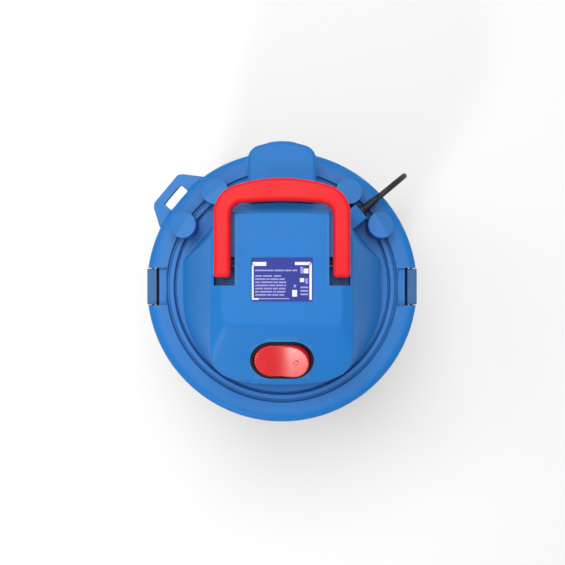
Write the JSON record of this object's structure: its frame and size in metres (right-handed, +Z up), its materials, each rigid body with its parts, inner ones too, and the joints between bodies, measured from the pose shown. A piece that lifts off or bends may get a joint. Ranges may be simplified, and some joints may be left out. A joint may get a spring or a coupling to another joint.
{
  "type": "shop vacuum",
  "caption": "Round wet and dry drum vacuum with a clip-on motor head, folding carry handle, rocker switch, tool posts, rear blower port, castors and a mains lead.",
  "frame": {"origin": "on the drum's axis, at floor level under the castors", "axes": "+Z up, +Y to the rear (blower hood), +X to the right seen from above with the rear at the top"},
  "size_m": [0.3394, 0.3942, 0.437],
  "materials": {
    "blue_plastic": "satin moulded",
    "latch_plastic": "satin moulded",
    "red_plastic": "glossy moulded",
    "black_plastic": "fine grain",
    "wheel_rubber": "smooth",
    "drum_steel": "brushed round the drum",
    "bright_steel": "zinc plated",
    "motor_iron": "laminated",
    "copper": "wound copper",
    "white_plastic": "plain",
    "label_film": "printed film",
    "foam": "open cell foam",
    "cord_rubber": "smooth",
    "brass": "bright"
  },
  "bodies": {
    "tank": {"tank_shell": "drum_steel", "castor_base": "black_plastic", "suction_inlet": "black_plastic", "inlet_locknut": "black_plastic", "inlet_deflector": "black_plastic", "cord_coil": "cord_rubber", "cord_tie": "black_plastic", "cord_tail": "cord_rubber", "plug_body": "cord_rubber", "plug_pin_left": "brass", "plug_pin_right": "brass"},
    "head": {"lid_shell": "blue_plastic", "lid_gasket": "cord_rubber", "motor_housing": "blue_plastic", "exhaust_hood": "blue_plastic", "rating_label": "label_film", "switch_bezel": "black_plastic", "rocker_pin": "bright_steel", "handle_pin_left": "bright_steel", "handle_pin_right": "bright_steel", "latch_pin_left": "bright_steel", "latch_pin_right": "bright_steel", "housing_screw_front_left": "bright_steel", "housing_screw_front_right": "bright_steel", "housing_screw_rear_left": "bright_steel", "housing_screw_rear_right": "bright_steel", "motor_plate": "bright_steel", "fan_housing": "bright_steel", "lower_bearing": "bright_steel", "upper_bearing": "bright_steel", "motor_frame": "bright_steel", "stator_core": "motor_iron", "filter_cage": "black_plastic", "foam_filter": "foam", "cord_gland": "cord_rubber", "cord_drop": "cord_rubber"},
    "rotor": {"motor_shaft": "bright_steel", "armature": "copper", "commutator": "copper", "impeller": "white_plastic"},
    "float_valve": {"float_ball": "white_plastic"},
    "rocker": {"switch_rocker": "red_plastic"},
    "handle": {"carry_handle": "red_plastic"},
    "left_latch": {"latch_left": "latch_plastic"},
    "right_latch": {"latch_right": "latch_plastic"},
    "castor_front_left": {"castor_fork_front_left": "black_plastic", "castor_axle_front_left": "bright_steel"},
    "wheel_front_left": {"castor_wheel_front_left": "wheel_rubber"},
    "castor_front_right": {"castor_fork_front_right": "black_plastic", "castor_axle_front_right": "bright_steel"},
    "wheel_front_right": {"castor_wheel_front_right": "wheel_rubber"},
    "castor_rear_left": {"castor_fork_rear_left": "black_plastic", "castor_axle_rear_left": "bright_steel"},
    "wheel_rear_left": {"castor_wheel_rear_left": "wheel_rubber"},
    "castor_rear_right": {"castor_fork_rear_right": "black_plastic", "castor_axle_rear_right": "bright_steel"},
    "wheel_rear_right": {"castor_wheel_rear_right": "wheel_rubber"}
  },
  "joints": [
    {"name": "head_lift", "type": "slide", "parent": "tank", "child": "head", "axis": [0, 0, 1], "range_m": [0, 0.25], "deforming": ["cord_drop"]},
    {"name": "fan_spin", "type": "hinge", "parent": "head", "child": "rotor", "pos_m": [0, 0, 0.36], "axis": [0, 0, 1], "continuous": true},
    {"name": "float_rise", "type": "slide", "parent": "head", "child": "float_valve", "axis": [0, 0, 1], "range_m": [0, 0.054]},
    {"name": "switch_rock", "type": "hinge", "parent": "head", "child": "rocker", "pos_m": [0, -0.08382, 0.40328], "axis": [0, 0.9007, 0.4344], "range_deg": [0, 10]},
    {"name": "handle_fold", "type": "hinge", "parent": "head", "child": "handle", "pos_m": [0, 0.0235, 0.418], "axis": [1, 0, 0], "range_deg": [0, 90]},
    {"name": "left_latch_open", "type": "hinge", "parent": "head", "child": "left_latch", "pos_m": [-0.1625, 0, 0.3275], "axis": [0, 1, 0], "range_deg": [0, 60]},
    {"name": "right_latch_open", "type": "hinge", "parent": "head", "child": "right_latch", "pos_m": [0.1625, 0, 0.3275], "axis": [0, -1, 0], "range_deg": [0, 60]},
    {"name": "swivel_front_left", "type": "hinge", "parent": "tank", "child": "castor_front_left", "pos_m": [-0.088, -0.088, 0.05], "axis": [0, 0, 1], "continuous": true},
    {"name": "roll_front_left", "type": "hinge", "parent": "castor_front_left", "child": "wheel_front_left", "pos_m": [-0.088, -0.074, 0.021], "axis": [1, 0, 0], "continuous": true},
    {"name": "swivel_front_right", "type": "hinge", "parent": "tank", "child": "castor_front_right", "pos_m": [0.088, -0.088, 0.05], "axis": [0, 0, 1], "continuous": true},
    {"name": "roll_front_right", "type": "hinge", "parent": "castor_front_right", "child": "wheel_front_right", "pos_m": [0.088, -0.074, 0.021], "axis": [1, 0, 0], "continuous": true},
    {"name": "swivel_rear_left", "type": "hinge", "parent": "tank", "child": "castor_rear_left", "pos_m": [-0.088, 0.088, 0.05], "axis": [0, 0, 1], "continuous": true},
    {"name": "roll_rear_left", "type": "hinge", "parent": "castor_rear_left", "child": "wheel_rear_left", "pos_m": [-0.088, 0.102, 0.021], "axis": [1, 0, 0], "continuous": true},
    {"name": "swivel_rear_right", "type": "hinge", "parent": "tank", "child": "castor_rear_right", "pos_m": [0.088, 0.088, 0.05], "axis": [0, 0, 1], "continuous": true},
    {"name": "roll_rear_right", "type": "hinge", "parent": "castor_rear_right", "child": "wheel_rear_right", "pos_m": [0.088, 0.102, 0.021], "axis": [1, 0, 0], "continuous": true}
  ]
}
